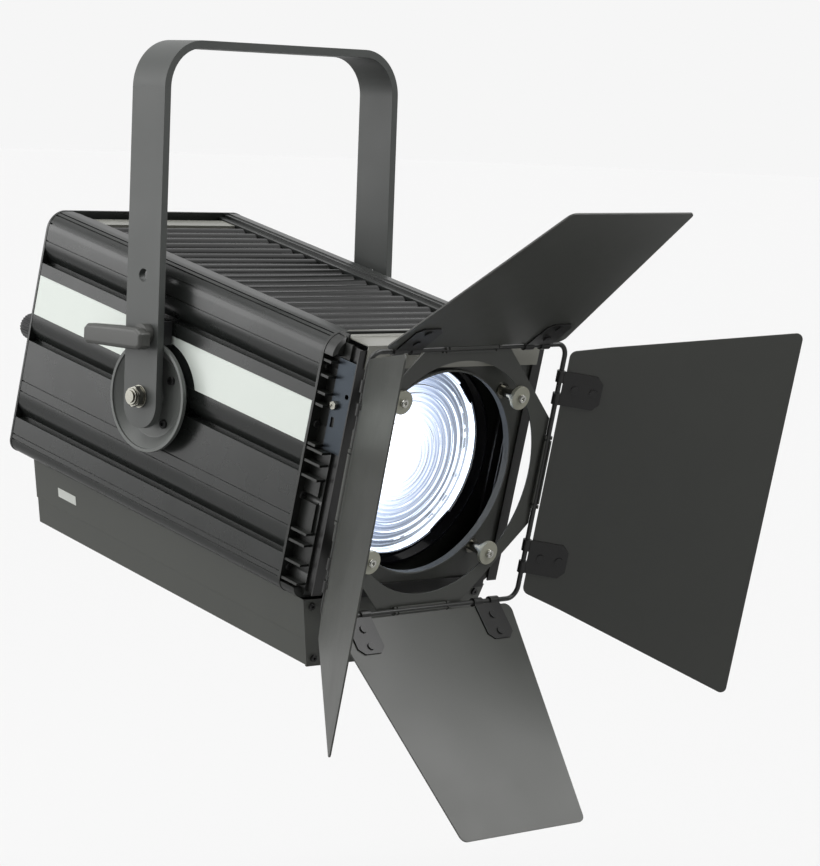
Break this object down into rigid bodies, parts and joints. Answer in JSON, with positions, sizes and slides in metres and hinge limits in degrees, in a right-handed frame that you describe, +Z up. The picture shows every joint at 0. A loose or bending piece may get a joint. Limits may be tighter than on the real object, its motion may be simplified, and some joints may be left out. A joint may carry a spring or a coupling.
{
  "type": "fresnel spotlight",
  "caption": "Studio fresnel spotlight on a tilting yoke, with ribbed housing, louvred top, focusing lamp carriage and rotating four-leaf barndoor.",
  "frame": {"origin": "centre of the yoke's clamp hole at the crossbar's top face", "axes": "+Z up out of the clamp hole, +X along the tilt axis, the beam leaves towards -Y and down at rest"},
  "size_m": [0.5652, 0.7581, 0.7504],
  "materials": {
    "yoke_paint": "satin black paint",
    "black_plastic": "matt moulded",
    "nylon": "natural nylon",
    "lever_paint": "powder-coated die casting",
    "plated_steel": "zinc plate",
    "black_steel": "blackened steel",
    "grey_casting": "satin black paint on a casting",
    "body_paint": "satin black paint",
    "strip_paint": "satin black paint",
    "pale_trim": "smooth pale label strip, blank",
    "zinc": "bare zinc plate",
    "barrel_black": "gloss black",
    "lens_glass": "clear pressed glass",
    "box_paint": "satin black paint",
    "unit_metal": "mill finish",
    "board_green": "circuit board",
    "sink_aluminium": "extruded",
    "led_yellow": "phosphor and ceramic",
    "washer_grey": "olive grey moulded",
    "door_paint": "satin black paint on sheet"
  },
  "bodies": {
    "yoke": {"yoke": "yoke_paint", "brake_shoe": "black_plastic", "thrust_washers": "nylon"},
    "lock_lever": {"lock_lever": "lever_paint", "lever_stud": "plated_steel"},
    "head": {"tilt_disc_left": "grey_casting", "tilt_disc_right": "grey_casting", "disc_screws": "plated_steel", "pivot_bolts": "plated_steel", "pivot_washers": "plated_steel", "pivot_nuts": "plated_steel", "side_panel_left": "body_paint", "side_panel_right": "body_paint", "side_strips": "pale_trim", "rear_plate": "body_paint", "rear_screws": "black_steel", "louvre_rails": "body_paint", "louvre_slats": "body_paint", "top_strips": "strip_paint", "top_baffle": "body_paint", "floor_plate": "body_paint", "front_cap": "grey_casting", "cap_screws": "black_steel", "runners": "black_steel", "runner_brackets": "zinc", "bracket_screws": "plated_steel", "lens_barrel": "barrel_black", "fresnel_lens": "lens_glass", "lens_ring": "black_steel", "gear_box": "box_paint", "gear_cover": "box_paint", "gear_front": "box_paint", "gear_screws": "black_steel", "led_driver": "unit_metal", "control_board": "board_green", "data_sockets": "black_plastic", "mains_inlet": "black_plastic", "guide_rods": "plated_steel", "door_base": "door_paint", "roller_studs": "plated_steel", "roller_washers": "washer_grey", "roller_screws": "plated_steel"},
    "carriage": {"carriage": "sink_aluminium", "heat_sink": "sink_aluminium", "led_module": "led_yellow", "fan_frame": "black_plastic"},
    "fan": {"fan_rotor": "black_plastic"},
    "focus": {"focus_knob": "black_plastic", "lead_screw": "plated_steel"},
    "catch": {"top_catch": "zinc"},
    "ring": {"ring_plate": "door_paint", "wire_frame": "door_paint"},
    "door_top": {"leaf_top": "door_paint", "hinges_top": "zinc"},
    "door_right": {"leaf_right": "door_paint", "hinges_right": "zinc"},
    "door_bottom": {"leaf_bottom": "door_paint", "hinges_bottom": "zinc"},
    "door_left": {"leaf_left": "door_paint", "hinges_left": "zinc"}
  },
  "joints": [
    {"name": "head_tilt", "type": "hinge", "parent": "yoke", "child": "head", "pos_m": [0, 0, -0.356], "axis": [1, 0, 0], "range_deg": [-50, 77]},
    {"name": "lock_turn", "type": "hinge", "parent": "yoke", "child": "lock_lever", "pos_m": [-0.1674, -0.01, -0.292], "axis": [1, 0, 0], "range_deg": [-30, 75]},
    {"name": "focus_slide", "type": "slide", "parent": "head", "child": "carriage", "axis": [0, -0.9744, -0.225], "range_m": [-0.05, 0.11]},
    {"name": "focus_turn", "type": "hinge", "parent": "head", "child": "focus", "pos_m": [-0.112, 0.22605, -0.30381], "axis": [0, -0.9744, -0.225], "range_deg": [-901, 1981]},
    {"name": "fan_spin", "type": "hinge", "parent": "carriage", "child": "fan", "pos_m": [0, 0.12135, -0.32593], "axis": [0, -0.9744, -0.225], "continuous": true},
    {"name": "catch_lift", "type": "hinge", "parent": "head", "child": "catch", "pos_m": [0, -0.25552, -0.28055], "axis": [-1, 0, 0], "range_deg": [0, 95]},
    {"name": "door_turn", "type": "hinge", "parent": "head", "child": "ring", "pos_m": [0, -0.27263, -0.41894], "axis": [0, -0.9744, -0.225], "continuous": true},
    {"name": "door_top_fold", "type": "hinge", "parent": "ring", "child": "door_top", "pos_m": [-0.00187, -0.30681, -0.28912], "axis": [0.9999, -0.0031, 0.0136], "range_deg": [-53.2, 74.8]},
    {"name": "door_bottom_fold", "type": "hinge", "parent": "ring", "child": "door_bottom", "pos_m": [0.00187, -0.24644, -0.55061], "axis": [-0.9999, 0.0031, -0.0136], "range_deg": [-60.2, 67.8]},
    {"name": "door_left_fold", "type": "hinge", "parent": "ring", "child": "door_left", "pos_m": [-0.13419, -0.2762, -0.42169], "axis": [-0.014, -0.2249, 0.9743], "range_deg": [-57.2, 36.8]},
    {"name": "door_right_fold", "type": "hinge", "parent": "ring", "child": "door_right", "pos_m": [0.13419, -0.27704, -0.41804], "axis": [0.014, 0.2249, -0.9743], "range_deg": [-52, 42]}
  ],
  "couplings": [
    {"joint": "focus_turn", "follows": "focus_slide", "rad_per_m": 314.16}
  ]
}
